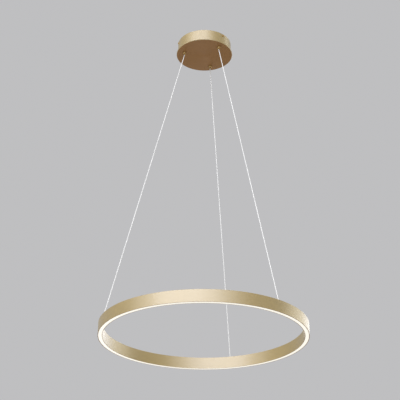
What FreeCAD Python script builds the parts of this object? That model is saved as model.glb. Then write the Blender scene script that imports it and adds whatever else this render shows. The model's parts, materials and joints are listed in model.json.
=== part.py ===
import FreeCAD, Part
import math
import os
import re
import Sketcher

# An LED ring pendant. A slim aluminium ring, lit from below, hangs level on three taut
# current-carrying cables from a round ceiling canopy. Each cable runs through a gripper with a
# sprung release nozzle, so the ring can be raised by feeding cable up into the canopy.
#
# Millimetres. The origin is the centre of the ceiling face, +Z is up, and the lamp hangs to -Z.
# Azimuths are in degrees from +Y towards +X.

SIZES = {
    # whole lamp
    "ceiling_drop": 1000,
    "cable_azimuth": 16.66,
    "cable_spacing_angle": 120,
    "seat_clearance": 0.1,
    "thread_clearance": 0.05,
    "running_clearance": 0.1,
    "loose_clearance": 0.3,
    # ring profile, a rolled extrusion open at the bottom
    "ring_radius": 300,
    "ring_width": 13.2,
    "ring_height": 34.6,
    "outer_wall": 1.7,
    "inner_wall": 1.3,
    "web_thickness": 2,
    "shelf_level": 13,
    "shelf_thickness": 1.5,
    "snap_rib_level": 5,
    "snap_rib_height": 1,
    "snap_rib_depth": 0.5,
    # diffuser
    "diffuser_thickness": 2,
    "diffuser_leg": 1,
    "diffuser_hook_height": 1,
    "diffuser_hook_depth": 0.4,
    # light source
    "strip_margin": 1.1,
    "strip_thickness": 1,
    "led_count": 96,
    "led_length": 3.5,
    "led_width": 2.8,
    "led_height": 0.8,
    # cable and its anchor in the ring
    "cable_radius": 1.2,
    "bushing_wall": 0.7,
    "anchor_length_angle": 4.4,
    "anchor_height": 8,
    "ferrule_wall": 1.3,
    "ferrule_shelf_gap": 2.1,
    "anchor_screw_angle": 1.4,
    "grub_radius": 1.5,
    "grub_length": 5,
    "feed_wire_radius": 0.7,
    # joiner of the ring's single seam
    "joiner_offset_angle": 60,
    "joiner_length_angle": 12,
    "joiner_height": 10,
    "joiner_screw_inner_angle": 1.5,
    "joiner_screw_outer_angle": 4.5,
    # canopy
    "canopy_height": 40,
    "plate_overhang": 4.5,
    "plate_thickness": 3.5,
    "plate_bevel": 1,
    "wall_radius": 85.5,
    "wall_thickness": 1.5,
    "flange_margin": 0.3,
    "flange_thickness": 1.5,
    "stud_radius": 1.5,
    "stud_proud": 0.3,
    "stud_nut_wall": 1.25,
    "stud_nut_height": 2.4,
    # ceiling bracket
    "bracket_thickness": 1.5,
    "bracket_margin": 3,
    "entry_hole_radius": 12,
    "fixing_spacing": 100,
    "fixing_slot_radius": 2.5,
    "fixing_slot_travel": 12,
    "tab_width": 12,
    "tab_below_screw": 7,
    "tab_thickness": 2,
    # side screws of the canopy
    "side_screw_level": 7,
    "side_screw_radius": 2,
    "side_screw_length": 8,
    "side_screw_head_step": 1.5,
    "side_screw_head_height": 2.2,
    "side_screw_head_bevel": 0.6,
    # cable grippers
    "gripper_flange_gap": 2.7,
    "gripper_collar_step": 1.1,
    "gripper_collar_height": 5.5,
    "gripper_collar_rim": 1,
    "gripper_mouth_rim": 1.6,
    "gripper_waist_step": 0.8,
    "gripper_waist_height": 1.8,
    "gripper_shank_wall": 1,
    "gripper_shank_height": 18,
    "gripper_floor": 4.5,
    "gripper_nut_wall": 2.1,
    "gripper_nut_height": 4,
    "cap_plug_height": 3,
    "cap_flange_height": 2,
    "nozzle_wall": 1,
    "nozzle_reach": 4,
    "nozzle_flare": 0.9,
    "nozzle_bevel_width": 0.3,
    "nozzle_bevel_height": 0.6,
    "plunger_head_step": 1.1,
    "plunger_head_height": 2,
    "plunger_guide_wall": 0.6,
    "plunger_guide_height": 3,
    "spring_wire_radius": 0.3,
    "spring_turns": 6,
    # cable tails inside the canopy
    "tail_rise": 1.5,
    # driver
    "driver_length": 100,
    "driver_width": 36,
    "driver_height": 20,
    "driver_wall": 1.5,
    "driver_lug_margin": 1.3,
    "driver_lug_thickness": 2,
    "driver_lid_thickness": 1.5,
    "driver_board_thickness": 1.6,
    "driver_board_level": 4,
    "transformer_length": 22,
    "transformer_width": 20,
    "transformer_height": 11,
    "capacitor_radius": 4,
    "capacitor_length": 11,
    "capacitor_spacing": 14,
    "capacitor_place": 30,
    "terminal_depth": 13,
    "terminal_width": 28,
    "terminal_height": 14,
    "terminal_pitch": 9,
    "terminal_way_width": 4,
    "terminal_way_depth": 3.5,
    "terminal_way_height": 2.5,
    "terminal_screw_radius": 1.6,
    "terminal_screw_height": 2,
    "terminal_screw_depth": 4,
    "output_block_radius": 14,
    "output_block_height": 9,
    "output_screw_place": 9,
}

# how far a cut that goes right through starts above its piece and ends below it
CUT_MARGIN = 1
# how many pairs of arcs each turn of a spring is drawn with
BENDS_PER_TURN = 4

doc = FreeCAD.newDocument("RingPendant")
sheet = doc.addObject("Spreadsheet::Sheet", "Dims")
for row, (alias, number) in enumerate(SIZES.items(), start=1):
    sheet.set("A%d" % row, alias)
    sheet.set("B%d" % row, str(number))
    sheet.setAlias("B%d" % row, alias)
doc.recompute()

# Levels and radii that follow from the sheet, written as expressions of its aliases.
DERIVED = {
    # ring
    "ring_bottom": "(-ceiling_drop)",
    "ring_top": "(ring_height - ceiling_drop)",
    "ring_inside": "(ring_radius - ring_width)",
    "chamber_outside": "(ring_radius - outer_wall)",
    "chamber_inside": "(ring_radius - ring_width + inner_wall)",
    "chamber_middle": "(ring_radius - outer_wall / 2 - ring_width / 2 + inner_wall / 2)",
    "web_bottom": "(ring_top - web_thickness)",
    "shelf_bottom": "(shelf_level - ceiling_drop)",
    "shelf_top": "(shelf_bottom + shelf_thickness)",
    "strip_width": "(ring_width - outer_wall - inner_wall - 2 * strip_margin)",
    "anchor_bottom": "(web_bottom - anchor_height)",
    "ferrule_radius": "(cable_radius + ferrule_wall)",
    "ferrule_bottom": "(shelf_top + ferrule_shelf_gap)",
    # canopy
    "plate_bottom": "(-canopy_height)",
    "plate_top": "(plate_thickness - canopy_height)",
    "plate_radius": "(wall_radius + plate_overhang)",
    "wall_inside": "(wall_radius - wall_thickness)",
    "stud_nut_flats": "(2 * stud_radius + 2 * stud_nut_wall)",
    "flange_width": "(2 * stud_nut_flats / sqrt(3) + 2 * flange_margin)",
    "tab_height": "(side_screw_level + tab_below_screw)",
    "side_screw_head_radius": "(side_screw_radius + side_screw_head_step)",
    # cable grippers
    "cable_bore": "(cable_radius + loose_clearance)",
    "nozzle_radius": "(cable_bore + nozzle_wall)",
    "nozzle_bore": "(nozzle_radius + running_clearance)",
    "mouth_radius": "(nozzle_bore + gripper_mouth_rim)",
    "waist_radius": "(mouth_radius + gripper_waist_step)",
    "plunger_head_radius": "(nozzle_radius + plunger_head_step)",
    "plunger_guide_radius": "(cable_bore + plunger_guide_wall)",
    "chamber_radius": "(plunger_head_radius + loose_clearance)",
    "shank_radius": "(chamber_radius + gripper_shank_wall)",
    "collar_radius": "(shank_radius + gripper_collar_step)",
    "gripper_nut_flats": "(2 * shank_radius + 2 * gripper_nut_wall)",
    "gripper_place": "(wall_inside - flange_width - gripper_nut_flats / sqrt(3) - gripper_flange_gap)",
    "spring_mean_radius": "(plunger_guide_radius / 2 + chamber_radius / 2)",
    "collar_bottom": "(plate_bottom - gripper_collar_height)",
    "nozzle_tip": "(collar_bottom - nozzle_reach)",
    "chamber_floor": "(collar_bottom + gripper_floor)",
    "head_top": "(chamber_floor + plunger_head_height)",
    "guide_top": "(head_top + plunger_guide_height)",
    "shank_top": "(plate_bottom + gripper_shank_height)",
    "cap_bottom": "(shank_top - cap_plug_height)",
    "cap_top": "(shank_top + cap_flange_height)",
    # cables: each aims from its nozzle at the ferrule in the middle of the ring's chamber
    "cable_slope": "((chamber_middle - gripper_place) / (nozzle_tip - anchor_bottom))",
    "cable_top": "(nozzle_tip - loose_clearance)",
    "cable_top_place": "(gripper_place + cable_slope * loose_clearance)",
    "cable_low": "(ring_top + loose_clearance)",
    "cable_low_place": "(chamber_middle - cable_slope * (cable_low - anchor_bottom))",
    "bushing_place": "(chamber_middle - cable_slope * (anchor_height + web_thickness / 2))",
    "bushing_bore": "(cable_radius + cable_slope * web_thickness / 2 + seat_clearance)",
    "bushing_radius": "(bushing_bore + bushing_wall)",
    # driver
    "driver_lug_length": "(2 * stud_nut_flats / sqrt(3) + 2 * driver_lug_margin)",
    "driver_top": "(plate_top + driver_height)",
    "lid_top": "(driver_top + driver_lid_thickness)",
    "tail_level": "(lid_top + output_block_height / 2)",
    "tail_bend_radius": "(tail_level - cap_top - tail_rise)",
}


def spelled(text):
    """The expression with every derived name written out in the sheet's own aliases."""
    while True:
        longer = re.sub(r"[a-z_]+", lambda word: DERIVED.get(word.group(), word.group()), text)
        if longer == text:
            return text
        text = longer


def bound(text):
    """The expression as another object of the document reads it."""
    return re.sub(r"[a-z_]+", lambda word: "Dims." + word.group() if word.group() in SIZES
                  else word.group(), spelled(str(text)))


def value(text):
    return float(sheet.evalExpression(spelled(str(text))))


def bind(item, prop, text):
    item.setExpression(prop, bound(text))


def cable_angle(index):
    return "(cable_azimuth + cable_spacing_angle * %d)" % index


# ---------------------------------------------------------------- sketches and features

def constrain_point(sketch, geometry, point, across, up):
    for kind, text, axis in (("DistanceX", across, -2), ("DistanceY", up, -1)):
        size = value(text)
        if abs(size) < 1e-9:
            sketch.addConstraint(Sketcher.Constraint("PointOnObject", geometry, point, axis))
        else:
            spot = Sketcher.Constraint(kind, -1, 1, geometry, point, size)
            bind(sketch, "Constraints[%d]" % sketch.addConstraint(spot), text)


def draw_polygon(sketch, points):
    first = sketch.GeometryCount
    corners = [FreeCAD.Vector(value(across), value(up), 0) for across, up in points]
    for start, end in zip(corners, corners[1:] + corners[:1]):
        sketch.addGeometry(Part.LineSegment(start, end), False)
    for index, (across, up) in enumerate(points):
        after = first + (index + 1) % len(points)
        sketch.addConstraint(Sketcher.Constraint("Coincident", first + index, 2, after, 1))
        constrain_point(sketch, first + index, 1, across, up)


def draw_circle(sketch, across, up, radius):
    middle = FreeCAD.Vector(value(across), value(up), 0)
    circle = Part.Circle(middle, FreeCAD.Vector(0, 0, 1), value(radius))
    index = sketch.addGeometry(circle, False)
    constrain_point(sketch, index, 3, across, up)
    size = Sketcher.Constraint("Radius", index, value(radius))
    bind(sketch, "Constraints[%d]" % sketch.addConstraint(size), radius)


def rectangle(x_low, y_low, x_high, y_high):
    return [(x_low, y_low), (x_high, y_low), (x_high, y_high), (x_low, y_high)]


def hexagon(flats):
    """Corners of a hexagonal nut about the origin."""
    half = "(%s) / 2" % flats
    corner = "(%s) / sqrt(3)" % flats
    return [(corner, "0"), ("(%s) / 2" % corner, half), ("-(%s) / 2" % corner, half),
            ("-(%s)" % corner, "0"), ("-(%s) / 2" % corner, "-(%s)" % half),
            ("(%s) / 2" % corner, "-(%s)" % half)]


def new_body(label):
    body = doc.addObject("PartDesign::Body", label)
    body.Label = label
    return body


def new_sketch(body, role, loops, level="0"):
    """A sketch on one of the body's own planes. A loop is a polygon or (x, y, radius)."""
    plane = [feature for feature in body.Origin.OriginFeatures if feature.Role == role][0]
    sketch = body.newObject("Sketcher::SketchObject", body.Name + "_sketch")
    sketch.AttachmentSupport = [(plane, "")]
    sketch.MapMode = "FlatFace"
    bind(sketch, "AttachmentOffset.Base.z", level)
    for loop in loops:
        if isinstance(loop, tuple):
            draw_circle(sketch, *loop)
        else:
            draw_polygon(sketch, loop)
    return sketch


def turned(label, points, angle="360"):
    """A body turned about Z from a closed outline of (radius, height) points."""
    body = new_body(label)
    sketch = new_sketch(body, "XZ_Plane", [points])
    turn = body.newObject("PartDesign::Revolution", label + "_turn")
    turn.Profile = sketch
    turn.ReferenceAxis = (sketch, ["V_Axis"])
    bind(turn, "Angle", angle)
    turn.Midplane = angle != "360"
    return body


def padded(label, loops, level, height):
    body = new_body(label)
    pad = body.newObject("PartDesign::Pad", label + "_pad")
    pad.Profile = new_sketch(body, "XY_Plane", loops, level)
    bind(pad, "Length", height)
    return body


def add_pad(body, loops, level, height):
    pad = body.newObject("PartDesign::Pad", body.Name + "_boss")
    pad.Profile = new_sketch(body, "XY_Plane", loops, level)
    bind(pad, "Length", height)
    return pad


def cut_down(body, loops, level, depth, through=False):
    """Cut from a level down by a depth, or right through, and check that it removed something."""
    if through:
        level = "%s + %s" % (level, CUT_MARGIN)
        depth = "%s + 2 * %s" % (depth, CUT_MARGIN)
    doc.recompute()
    before = body.Shape.Volume
    pocket = body.newObject("PartDesign::Pocket", body.Name + "_cut")
    pocket.Profile = new_sketch(body, "XY_Plane", loops, level)
    bind(pocket, "Length", depth)
    doc.recompute()
    if not body.Shape.Volume < before:
        raise ValueError("a cut in %s removed nothing" % body.Label)
    return pocket


def move(item, radius="0", azimuth="0", height="0"):
    """Put an item's own axis at a radius and azimuth."""
    bind(item, "Placement.Base.x", "(%s) * sin(%s)" % (radius, azimuth))
    bind(item, "Placement.Base.y", "(%s) * cos(%s)" % (radius, azimuth))
    bind(item, "Placement.Base.z", height)
    return item


def swing(item, azimuth):
    """Turn an item about the lamp's axis so that its own +X points along an azimuth."""
    item.Placement = FreeCAD.Placement(FreeCAD.Vector(), FreeCAD.Rotation(FreeCAD.Vector(0, 0, 1), 1))
    bind(item, "Placement.Rotation.Angle", "90 - (%s)" % azimuth)
    return item


def cylinder(name, radius, height):
    item = doc.addObject("Part::Cylinder", name)
    bind(item, "Radius", radius)
    bind(item, "Height", height)
    return item


def cut(name, base, tool):
    item = doc.addObject("Part::Cut", name)
    item.Base = base
    item.Tool = tool
    return item


def grouped(label, items):
    """Alike solids that share one node."""
    group = doc.addObject("Part::Compound", label)
    group.Label = label
    group.Links = items
    return group


def oblique(label, low_radius, low_level, high_radius, high_level):
    """A straight round cable with level ends, drawn in the plane y = 0."""
    ends = []
    for place, level in ((low_radius, low_level), (high_radius, high_level)):
        ring = doc.addObject("Part::Circle", label + "_end")
        bind(ring, "Radius", "cable_radius")
        bind(ring, "Placement.Base.x", place)
        bind(ring, "Placement.Base.z", level)
        ends.append(ring)
    loft = doc.addObject("Part::Loft", label)
    loft.Label = label
    loft.Sections = ends
    loft.Solid = True
    loft.Ruled = True
    return loft


# ---------------------------------------------------------------- ring

def ring_profile():
    rib_outside = "(chamber_outside - snap_rib_depth)"
    rib_inside = "(chamber_inside + snap_rib_depth)"
    rib_bottom = "(ring_bottom + snap_rib_level)"
    rib_top = "(ring_bottom + snap_rib_level + snap_rib_height)"
    body = turned("ring_profile", [
        ("ring_inside", "ring_bottom"), ("chamber_inside", "ring_bottom"),
        ("chamber_inside", rib_bottom), (rib_inside, rib_bottom),
        (rib_inside, rib_top), ("chamber_inside", rib_top),
        ("chamber_inside", "shelf_bottom"), ("chamber_outside", "shelf_bottom"),
        ("chamber_outside", rib_top), (rib_outside, rib_top),
        (rib_outside, rib_bottom), ("chamber_outside", rib_bottom),
        ("chamber_outside", "ring_bottom"), ("ring_radius", "ring_bottom"),
        ("ring_radius", "ring_top"), ("ring_inside", "ring_top")])
    # the upper chamber, which holds the cable anchors
    groove = body.newObject("PartDesign::Groove", "ring_chamber")
    groove.Profile = new_sketch(body, "XZ_Plane", [
        rectangle("chamber_inside", "shelf_top", "chamber_outside", "web_bottom")])
    groove.ReferenceAxis = (groove.Profile[0], ["V_Axis"])
    groove.Angle = 360
    holes = []
    for index in range(3):
        angle = cable_angle(index)
        holes.append(("(bushing_place) * sin(%s)" % angle, "(bushing_place) * cos(%s)" % angle,
                      "bushing_radius + seat_clearance"))
        angle = "(%s + anchor_screw_angle)" % angle
        holes.append(("(chamber_middle) * sin(%s)" % angle, "(chamber_middle) * cos(%s)" % angle,
                      "grub_radius + thread_clearance"))
    for angle in joiner_screw_angles():
        holes.append(("(chamber_middle) * sin(%s)" % angle, "(chamber_middle) * cos(%s)" % angle,
                      "grub_radius + thread_clearance"))
    cut_down(body, holes, "ring_top", "web_thickness", through=True)
    # the supply wires pass through the shelf below two of the cable ends
    feeds = []
    for index in (0, 1):
        angle = cable_angle(index)
        feeds.append(("(chamber_middle) * sin(%s)" % angle, "(chamber_middle) * cos(%s)" % angle,
                      "feed_wire_radius + loose_clearance"))
    cut_down(body, feeds, "shelf_top", "shelf_thickness", through=True)


def joiner_screw_angles():
    middle = "(cable_azimuth + joiner_offset_angle)"
    angles = []
    for side in (-1, 1):
        for place in ("joiner_screw_inner_angle", "joiner_screw_outer_angle"):
            angles.append("(%s + %d * %s)" % (middle, side, place))
    return angles


def ring_diffuser():
    skin_outside = "(chamber_outside - seat_clearance)"
    skin_inside = "(chamber_inside + seat_clearance)"
    leg_outside = "(chamber_outside - snap_rib_depth - seat_clearance)"
    leg_inside = "(chamber_inside + snap_rib_depth + seat_clearance)"
    skin_top = "(ring_bottom + diffuser_thickness)"
    hook_bottom = "(ring_bottom + snap_rib_level + snap_rib_height + seat_clearance)"
    leg_top = "(%s + diffuser_hook_height)" % hook_bottom
    turned("ring_diffuser", [
        (skin_inside, "ring_bottom"), (skin_outside, "ring_bottom"), (skin_outside, skin_top),
        (leg_outside, skin_top), (leg_outside, hook_bottom),
        (leg_outside + " + diffuser_hook_depth", hook_bottom), (leg_outside, leg_top),
        (leg_outside + " - diffuser_leg", leg_top), (leg_outside + " - diffuser_leg", skin_top),
        (leg_inside + " + diffuser_leg", skin_top), (leg_inside + " + diffuser_leg", leg_top),
        (leg_inside, leg_top), (leg_inside + " - diffuser_hook_depth", hook_bottom),
        (leg_inside, hook_bottom), (leg_inside, skin_top), (skin_inside, skin_top)])


def light_source():
    strip_low = "shelf_bottom - strip_thickness"
    turned("led_strip", rectangle("chamber_middle - strip_width / 2", strip_low,
                                  "chamber_middle + strip_width / 2", "shelf_bottom"))
    chips = new_body("led_chips")
    chips.AllowCompound = True
    pad = chips.newObject("PartDesign::Pad", "led_chip_pad")
    pad.Profile = new_sketch(chips, "XY_Plane", [rectangle(
        "chamber_middle - led_width / 2", "-led_length / 2",
        "chamber_middle + led_width / 2", "led_length / 2")], strip_low + " - led_height")
    bind(pad, "Length", "led_height")
    doc.recompute()
    pattern = chips.newObject("PartDesign::PolarPattern", "led_chip_row")
    pattern.Originals = [pad]
    pattern.Axis = (pad.Profile[0], ["N_Axis"])
    pattern.Angle = 360
    bind(pattern, "Occurrences", "led_count")
    chips.Tip = pattern


def ring_joiner():
    middle = "(cable_azimuth + joiner_offset_angle)"
    block = turned("ring_joiner", rectangle(
        "chamber_inside + seat_clearance", "web_bottom - joiner_height",
        "chamber_outside - seat_clearance", "web_bottom"), "joiner_length_angle")
    swing(block, middle)
    holes = []
    for side in (-1, 1):
        for place in ("joiner_screw_inner_angle", "joiner_screw_outer_angle"):
            holes.append(("(chamber_middle) * cos(%s)" % place,
                          "%d * (chamber_middle) * sin(%s)" % (side, place),
                          "grub_radius + thread_clearance"))
    cut_down(block, holes, "web_bottom", "joiner_height", through=True)
    grubs = []
    for angle in joiner_screw_angles():
        grubs.append(grub_screw("joiner_screw", angle))
    grouped("joiner_screws", grubs)


def grub_screw(name, angle):
    """A hollow-set grub screw, its top just under the ring's top face."""
    shank = cylinder(name + "_shank", "grub_radius", "grub_length")
    socket = cylinder(name + "_socket", "grub_radius / 2", "grub_length / 2")
    bind(socket, "Placement.Base.z", "grub_length / 2")
    return move(cut(name, shank, socket), "chamber_middle", angle,
                "ring_top - seat_clearance - grub_length")


def cable_anchor(index):
    angle = cable_angle(index)
    number = index + 1
    block = turned("anchor_block_%d" % number, rectangle(
        "chamber_inside + loose_clearance / 2", "anchor_bottom",
        "chamber_outside - loose_clearance / 2", "web_bottom"), "anchor_length_angle")
    half_slot = "(cable_radius + loose_clearance)"
    cut_down(block, [
        rectangle("chamber_inside", "-" + half_slot,
                  "chamber_middle + cable_radius + loose_clearance", half_slot),
        ("chamber_middle * cos(anchor_screw_angle)", "-(chamber_middle) * sin(anchor_screw_angle)",
         "grub_radius + thread_clearance")], "web_bottom", "anchor_height", through=True)
    swing(block, angle)

    # the swaged end: the cable's last stretch through the web, and the ferrule below the block
    stub = oblique("cable_stub_%d" % number, "chamber_middle", "anchor_bottom",
                   "cable_low_place", "cable_low")
    ferrule = cylinder("ferrule_%d" % number, "ferrule_radius", "anchor_bottom - ferrule_bottom")
    bind(ferrule, "Placement.Base.x", "chamber_middle")
    bind(ferrule, "Placement.Base.z", "ferrule_bottom")
    whole = doc.addObject("Part::Fuse", "cable_end_%d" % number)
    whole.Label = "cable_end_%d" % number
    whole.Base = stub
    whole.Tool = ferrule
    swing(whole, angle)

    bushing = turned("top_bushing_%d" % number, rectangle("bushing_bore", "web_bottom",
                                                          "bushing_radius", "ring_top"))
    move(bushing, "bushing_place", angle)


def ring_small_parts():
    grubs = []
    wires = []
    for index in range(3):
        angle = cable_angle(index)
        cable_anchor(index)
        grubs.append(grub_screw("anchor_screw", "(%s + anchor_screw_angle)" % angle))
    for index in (0, 1):
        wire = cylinder("feed_wire", "feed_wire_radius", "ferrule_bottom - shelf_bottom")
        wires.append(move(wire, "chamber_middle", cable_angle(index), "shelf_bottom"))
    grouped("anchor_screws", grubs)
    grouped("feed_wires", wires)


# ---------------------------------------------------------------- cables and grippers

def cable(index):
    number = index + 1
    line = oblique("cable_%d" % number, "cable_low_place", "cable_low",
                   "cable_top_place", "cable_top")
    swing(line, cable_angle(index))


def cable_tail(index):
    """The cable above its nozzle: up through the gripper, then over to the output block."""
    number = index + 1
    name = "cable_tail_%d" % number
    bend_start = "(cap_top + tail_rise)"
    rise = cylinder(name + "_rise", "cable_radius", "%s - cable_top" % bend_start)
    bind(rise, "Placement.Base.x", "gripper_place")
    bind(rise, "Placement.Base.z", "cable_top")
    bend = doc.addObject("Part::Torus", name + "_bend")
    bend.Placement.Rotation = FreeCAD.Rotation(FreeCAD.Vector(1, 0, 0), 90)
    bind(bend, "Radius1", "tail_bend_radius")
    bind(bend, "Radius2", "cable_radius")
    bend.Angle3 = 90
    bind(bend, "Placement.Base.x", "gripper_place - tail_bend_radius")
    bind(bend, "Placement.Base.z", bend_start)
    run = cylinder(name + "_run", "cable_radius",
                   "gripper_place - tail_bend_radius - output_block_radius")
    run.Placement.Rotation = FreeCAD.Rotation(FreeCAD.Vector(0, 1, 0), 90)
    bind(run, "Placement.Base.x", "output_block_radius")
    bind(run, "Placement.Base.z", "tail_level")
    whole = doc.addObject("Part::MultiFuse", name)
    whole.Label = name
    whole.Shapes = [rise, bend, run]
    swing(whole, cable_angle(index))


def gripper(index):
    number = index + 1
    angle = cable_angle(index)
    body = turned("gripper_body_%d" % number, [
        ("nozzle_bore", "collar_bottom"), ("mouth_radius", "collar_bottom"),
        ("waist_radius", "collar_bottom + gripper_waist_height"),
        ("collar_radius", "plate_bottom - gripper_collar_rim"),
        ("collar_radius", "plate_bottom"), ("shank_radius", "plate_bottom"),
        ("shank_radius", "shank_top"), ("chamber_radius", "shank_top"),
        ("chamber_radius", "chamber_floor"), ("nozzle_bore", "chamber_floor")])
    cap = turned("gripper_cap_%d" % number, [
        ("cable_bore", "cap_bottom"),
        ("chamber_radius - thread_clearance", "cap_bottom"),
        ("chamber_radius - thread_clearance", "shank_top"),
        ("shank_radius", "shank_top"), ("shank_radius", "cap_top"),
        ("cable_bore", "cap_top")])
    plunger = turned("gripper_plunger_%d" % number, [
        ("cable_bore", "nozzle_tip + nozzle_flare"),
        ("cable_bore + nozzle_flare / 2", "nozzle_tip"),
        ("nozzle_radius - nozzle_bevel_width", "nozzle_tip"),
        ("nozzle_radius", "nozzle_tip + nozzle_bevel_height"),
        ("nozzle_radius", "chamber_floor"), ("plunger_head_radius", "chamber_floor"),
        ("plunger_head_radius", "head_top"), ("plunger_guide_radius", "head_top"),
        ("plunger_guide_radius", "guide_top"), ("cable_bore", "guide_top")])
    nut = padded("gripper_nut_%d" % number, [
        hexagon("gripper_nut_flats"), ("0", "0", "shank_radius + thread_clearance")],
        "0", "gripper_nut_height")
    for item in (body, cap, plunger):
        move(item, "gripper_place", angle)
    move(nut, "gripper_place", angle, "plate_top")
    gripper_spring(number, angle)


def arc_under(start, corner, end):
    """The arc from start to end whose end tangents meet at a corner as far from both."""
    middle = (start + end) / 2
    slant = (middle - start).Length / (corner - start).Length
    return Part.Arc(start, middle + (corner - middle) * (slant / (1 + slant)), end).toShape()


def tangent_arcs(start, start_way, end, end_way):
    """Two arcs that meet smoothly and leave and arrive along the given unit directions."""
    span = end - start
    square = 2 * (start_way.dot(end_way) - 1)
    slope = -2 * span.dot(start_way + end_way)
    arm = (-slope - math.sqrt(slope ** 2 - 4 * square * span.dot(span))) / (2 * square)
    near = start + start_way * arm
    far = end - end_way * arm
    meeting = (near + far) / 2
    return [arc_under(start, near, meeting), arc_under(meeting, far, end)]


def gripper_spring(number, angle):
    """The coil that keeps the release nozzle down: arcs along a helix."""
    wire = value("spring_wire_radius")
    mean_radius = value("spring_mean_radius")
    length = value("cap_bottom") - value("head_top") - 2 * wire
    steps = round(BENDS_PER_TURN * value("spring_turns"))

    def on_helix(step):
        turn = 2 * math.pi * step / BENDS_PER_TURN
        return FreeCAD.Vector(mean_radius * math.cos(turn), mean_radius * math.sin(turn),
                              length * step / steps)

    def heading(step):
        turn = 2 * math.pi * step / BENDS_PER_TURN
        pace = 2 * math.pi * mean_radius / BENDS_PER_TURN
        return FreeCAD.Vector(-pace * math.sin(turn), pace * math.cos(turn),
                              length / steps).normalize()

    arcs = []
    for step in range(steps):
        arcs += tangent_arcs(on_helix(step), heading(step), on_helix(step + 1), heading(step + 1))
    section = Part.makeCircle(wire, on_helix(0), heading(0))
    spring = doc.addObject("Part::Feature", "gripper_spring_%d" % number)
    spring.Label = "gripper_spring_%d" % number
    spring.Shape = Part.Wire(arcs).makePipe(Part.Face(Part.Wire([section])))
    move(spring, "gripper_place", angle, "head_top + spring_wire_radius")


# ---------------------------------------------------------------- canopy

def canopy():
    plate = turned("canopy_plate", [
        ("0", "plate_bottom"), ("plate_radius - plate_bevel", "plate_bottom"),
        ("plate_radius", "plate_bottom + plate_bevel"), ("plate_radius", "plate_top"),
        ("0", "plate_top")])
    flange_studs = [stud_place(index) for index in range(3)]
    driver_studs = [driver_stud_place(side) for side in (-1, 1)]
    add_pad(plate, [(x, y, "stud_radius") for x, y in flange_studs],
            "plate_top", "flange_thickness + stud_nut_height + stud_proud")
    add_pad(plate, [(x, y, "stud_radius") for x, y in driver_studs],
            "plate_top", "driver_lug_thickness + stud_nut_height + stud_proud")
    holes = []
    for index in range(3):
        angle = cable_angle(index)
        holes.append(("gripper_place * sin(%s)" % angle,
                      "gripper_place * cos(%s)" % angle,
                      "shank_radius + seat_clearance"))
    cut_down(plate, holes, "plate_top", "plate_thickness", through=True)

    wall = turned("canopy_wall", [
        ("wall_inside - flange_width", "plate_top"), ("wall_radius", "plate_top"),
        ("wall_radius", "0"), ("wall_inside", "0"),
        ("wall_inside", "plate_top + flange_thickness"),
        ("wall_inside - flange_width", "plate_top + flange_thickness")])
    cut_down(wall, [(x, y, "stud_radius + seat_clearance") for x, y in flange_studs],
             "plate_top + flange_thickness", "flange_thickness", through=True)
    side_holes(wall)

    nuts = []
    for x, y in flange_studs:
        nuts.append(small_nut(x, y, "plate_top + flange_thickness"))
    grouped("plate_nuts", nuts)
    nuts = []
    for x, y in driver_studs:
        nuts.append(small_nut(x, y, "plate_top + driver_lug_thickness"))
    grouped("driver_nuts", nuts)


def stud_place(index):
    """Weld studs half way between the cables, under the wall's flange."""
    angle = "(%s + cable_spacing_angle / 2)" % cable_angle(index)
    radius = "(wall_inside - flange_width / 2)"
    return "%s * sin(%s)" % (radius, angle), "%s * cos(%s)" % (radius, angle)


def driver_stud_place(side):
    """Weld studs under the two end lugs of the driver, which lies square to cable 1."""
    angle = "(cable_azimuth + 90)"
    radius = "(driver_length / 2 + driver_lug_length / 2)"
    return "%d * %s * sin(%s)" % (side, radius, angle), "%d * %s * cos(%s)" % (side, radius, angle)


def small_nut(x, y, level):
    nut = padded("stud_nut", [hexagon("stud_nut_flats"),
                              ("0", "0", "stud_radius + thread_clearance")], "0", "stud_nut_height")
    bind(nut, "Placement.Base.x", x)
    bind(nut, "Placement.Base.y", y)
    bind(nut, "Placement.Base.z", level)
    return nut


def side_holes(body):
    """Radial screw holes near the top of the canopy wall, one above each cable."""
    for index in range(3):
        hole = body.newObject("PartDesign::SubtractiveCylinder", "side_hole")
        hole_plane = [f for f in body.Origin.OriginFeatures if f.Role == "XY_Plane"][0]
        hole.AttachmentSupport = [(hole_plane, "")]
        hole.MapMode = "FlatFace"
        bind(hole, "Radius", "side_screw_radius + loose_clearance")
        bind(hole, "Height", "wall_thickness + 2 * %s" % CUT_MARGIN)
        aim_radially(hole, "AttachmentOffset", index, "wall_inside - %s" % CUT_MARGIN)


def aim_radially(item, prop, index, radius):
    """Lay an item's own +Z along a cable's azimuth, at the level of the side screws."""
    angle = cable_angle(index)
    turn = FreeCAD.Rotation(FreeCAD.Vector(0, 0, 1), 90 - value(angle))
    tip = FreeCAD.Rotation(FreeCAD.Vector(0, 1, 0), 90)
    setattr(item, prop, FreeCAD.Placement(FreeCAD.Vector(), turn.multiply(tip)))
    bind(item, prop + ".Base.x", "(%s) * sin(%s)" % (radius, angle))
    bind(item, prop + ".Base.y", "(%s) * cos(%s)" % (radius, angle))
    bind(item, prop + ".Base.z", "-side_screw_level")


def side_screws():
    screws = []
    for index in range(3):
        shank = "-side_screw_length"
        screw = turned("side_screw", [
            ("0", shank), ("side_screw_radius", shank), ("side_screw_radius", "0"),
            ("side_screw_head_radius", "0"),
            ("side_screw_head_radius", "side_screw_head_height - side_screw_head_bevel"),
            ("side_screw_head_radius - side_screw_head_bevel", "side_screw_head_height"),
            ("0", "side_screw_head_height")])
        aim_radially(screw, "Placement", index, "wall_radius")
        screws.append(screw)
    grouped("canopy_screws", screws)


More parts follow.
